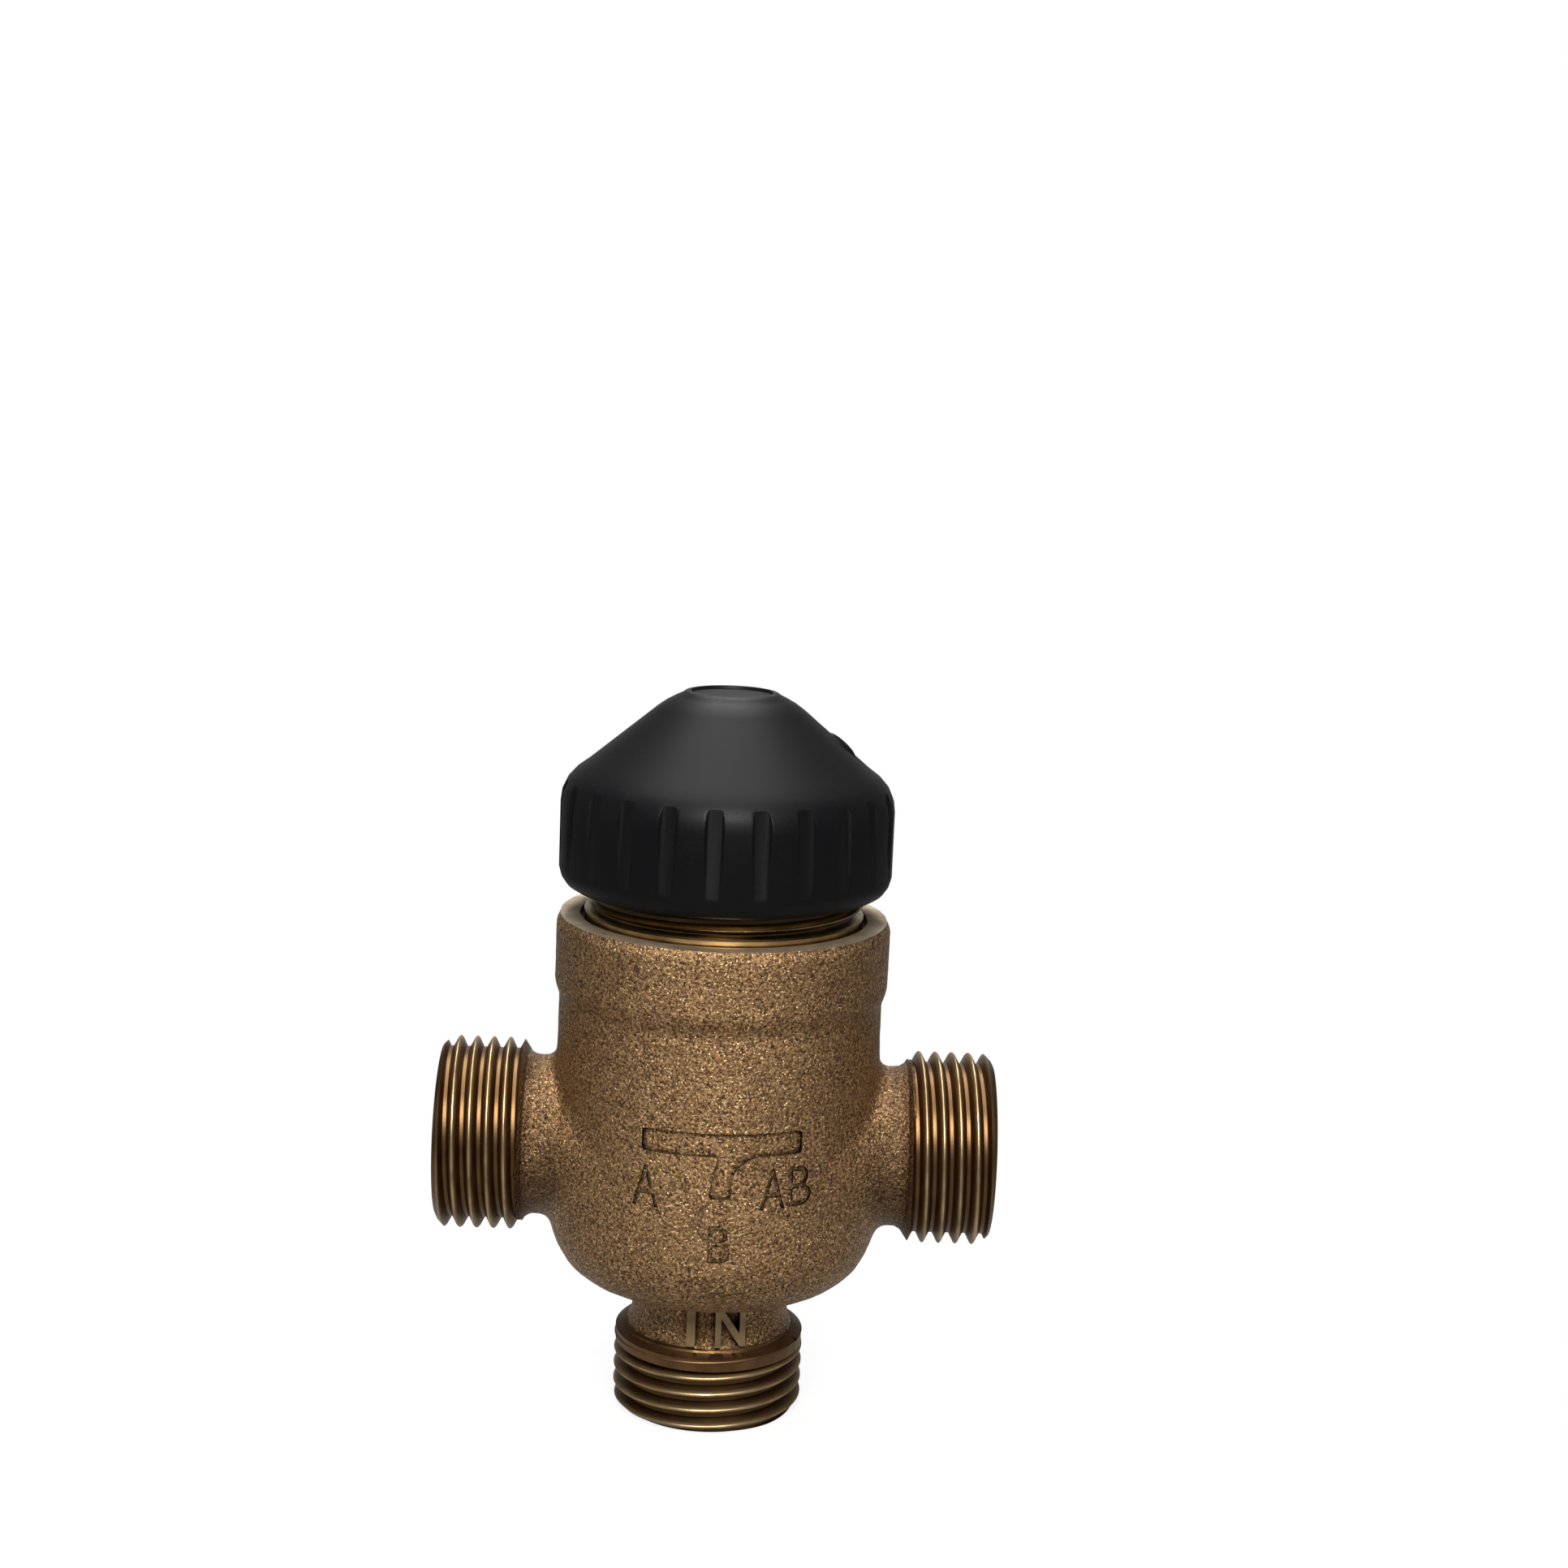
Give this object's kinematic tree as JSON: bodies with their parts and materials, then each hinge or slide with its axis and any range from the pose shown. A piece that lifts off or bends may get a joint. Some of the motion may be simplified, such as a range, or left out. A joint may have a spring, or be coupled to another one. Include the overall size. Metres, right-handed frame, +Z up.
{
  "type": "control valve",
  "caption": "Small three-port seat valve for a heating or cooling zone: cast bronze body with male pipe threads, brass bonnet and a fluted plastic hand cap that pushes the stem.",
  "frame": {"origin": "middle of the lower port's end face, on the stem's axis", "axes": "+Z up the stem towards the cap, +X out of the common port AB, -X out of port A"},
  "size_m": [0.06, 0.036, 0.0796],
  "materials": {
    "cast_bronze": "rough sand-cast bronze with a fine sparkle",
    "brass": "turned brass",
    "stainless": "turned stainless steel",
    "bush_plastic": "white low-friction plastic",
    "seal_rubber": "black seal rubber",
    "cap_plastic": "black moulded plastic, finely grained satin"
  },
  "bodies": {
    "casing": {"valve_body": "cast_bronze", "bonnet": "brass", "bonnet_seal": "seal_rubber", "upper_seat_ring": "brass", "seat_ring_seal": "seal_rubber", "spring_plate": "stainless", "plate_clip": "stainless", "guide_bush": "bush_plastic", "stem_seal_lower": "seal_rubber", "stem_spacer": "stainless", "stem_seal_upper": "seal_rubber", "gland_nut": "brass", "return_spring": "stainless"},
    "stem_unit": {"stem": "stainless", "control_plug": "brass", "plug_seal_upper": "seal_rubber", "plug_seal_lower": "seal_rubber", "plug_washer": "stainless", "plug_nut": "stainless", "spring_cup": "stainless", "stem_clip": "stainless"},
    "cap": {"screw_cap": "cap_plastic"}
  },
  "joints": [
    {"name": "stem_stroke", "type": "slide", "parent": "casing", "child": "stem_unit", "axis": [0, 0, -1], "range_m": [0, 0.0025], "stiffness_N_per_m": 1900, "springref_m": -0.002, "deforming": ["return_spring"]},
    {"name": "cap_turn", "type": "hinge", "parent": "stem_unit", "child": "cap", "pos_m": [0, 0, 0.06], "axis": [0, 0, -1], "range_deg": [0, 600]}
  ],
  "couplings": [
    {"joint": "cap_turn", "follows": "stem_stroke", "rad_per_m": 4188.8}
  ]
}
